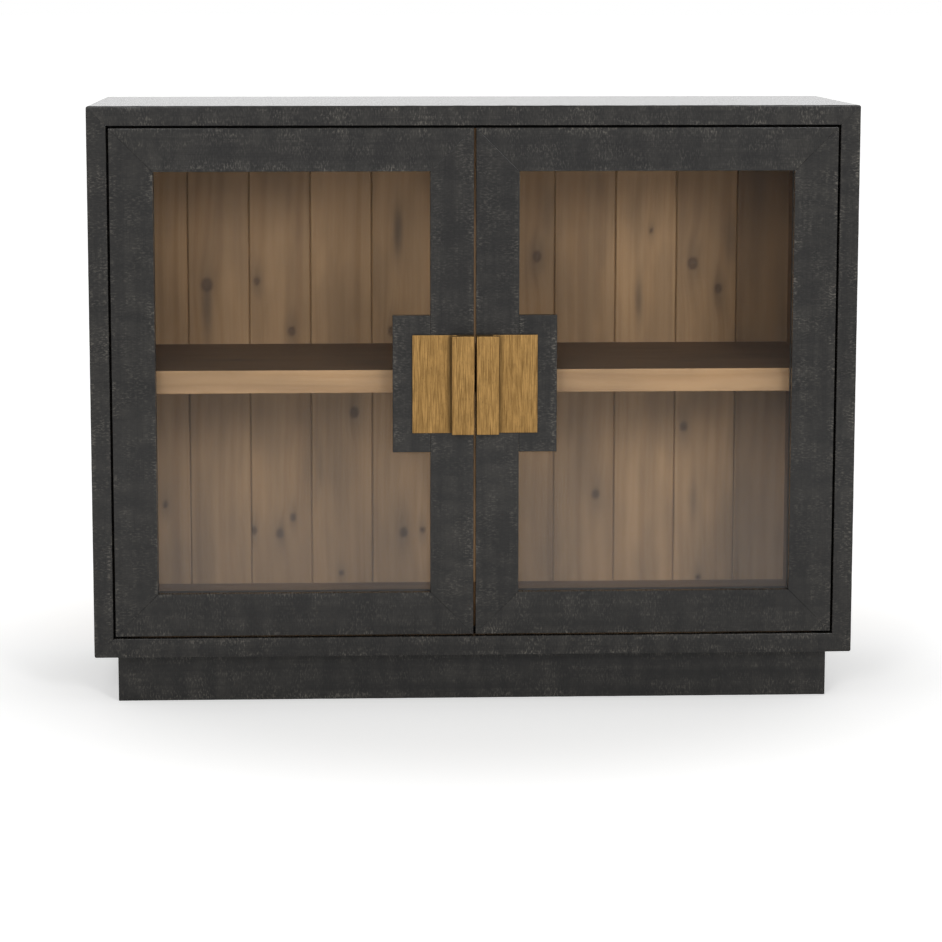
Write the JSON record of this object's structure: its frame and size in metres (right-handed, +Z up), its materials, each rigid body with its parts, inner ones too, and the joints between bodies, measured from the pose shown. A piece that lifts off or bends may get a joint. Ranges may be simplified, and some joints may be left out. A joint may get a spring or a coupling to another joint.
{
  "type": "apothecary cabinet",
  "caption": "Low free-standing apothecary cabinet with two glazed, mitred-frame doors, stepped pull blocks, one loose shelf and a recessed plinth.",
  "frame": {"origin": "centre of the whole object's box, pulls included, on the floor", "axes": "+X along the front to the right, +Y from the front into the cabinet, +Z up"},
  "size_m": [1.168, 0.43, 0.92],
  "materials": {
    "black_stained_timber": "sawn and black stained, matt",
    "natural_pine": "planed, clear waxed",
    "clear_glass": "clear float glass",
    "aged_brass": "brushed upright, matt lacquer",
    "nickel_plated_steel": "nickel plated"
  },
  "bodies": {
    "root": {"top_panel": "black_stained_timber", "bottom_panel": "black_stained_timber", "left_side_panel": "black_stained_timber", "right_side_panel": "black_stained_timber", "plinth_front": "black_stained_timber", "plinth_back": "black_stained_timber", "plinth_left": "black_stained_timber", "plinth_right": "black_stained_timber", "plinth_corner_blocks": "natural_pine", "floor_board": "natural_pine", "ceiling_board": "natural_pine", "left_lining": "natural_pine", "right_lining": "natural_pine", "back_board_01": "natural_pine", "back_board_02": "natural_pine", "back_board_03": "natural_pine", "back_board_04": "natural_pine", "back_board_05": "natural_pine", "back_board_06": "natural_pine", "back_board_07": "natural_pine", "back_board_08": "natural_pine", "back_board_09": "natural_pine", "back_board_10": "natural_pine", "back_board_11": "natural_pine", "back_board_nails": "nickel_plated_steel", "shelf_supports": "nickel_plated_steel", "left_hinge_arms": "nickel_plated_steel", "right_hinge_arms": "nickel_plated_steel", "left_hinge_plates": "nickel_plated_steel", "right_hinge_plates": "nickel_plated_steel", "hinge_plate_screws": "nickel_plated_steel"},
    "shelf": {"shelf_board": "natural_pine"},
    "left_door": {"left_door_top_rail": "black_stained_timber", "left_door_bottom_rail": "black_stained_timber", "left_door_hinge_stile": "black_stained_timber", "left_door_meeting_stile": "black_stained_timber", "left_door_stepped_block": "black_stained_timber", "left_door_glass": "clear_glass", "left_door_glazing_beads": "black_stained_timber", "left_door_pull_plate": "aged_brass", "left_door_pull_bar": "aged_brass", "left_door_pull_screws": "nickel_plated_steel", "left_door_hinge_cups": "nickel_plated_steel", "left_door_hinge_pins": "nickel_plated_steel"},
    "right_door": {"right_door_top_rail": "black_stained_timber", "right_door_bottom_rail": "black_stained_timber", "right_door_hinge_stile": "black_stained_timber", "right_door_meeting_stile": "black_stained_timber", "right_door_stepped_block": "black_stained_timber", "right_door_glass": "clear_glass", "right_door_glazing_beads": "black_stained_timber", "right_door_pull_plate": "aged_brass", "right_door_pull_bar": "aged_brass", "right_door_pull_screws": "nickel_plated_steel", "right_door_hinge_cups": "nickel_plated_steel", "right_door_hinge_pins": "nickel_plated_steel"}
  },
  "joints": [
    {"name": "left_door_hinge", "type": "hinge", "parent": "root", "child": "left_door", "pos_m": [-0.5255, -0.1795, 0.498], "axis": [0, 0, -1], "range_deg": [0, 90]},
    {"name": "right_door_hinge", "type": "hinge", "parent": "root", "child": "right_door", "pos_m": [0.5255, -0.1795, 0.498], "axis": [0, 0, 1], "range_deg": [0, 90]},
    {"name": "shelf_lift", "type": "slide", "parent": "root", "child": "shelf", "axis": [0, 0, 1], "range_m": [0, 0.03]}
  ]
}
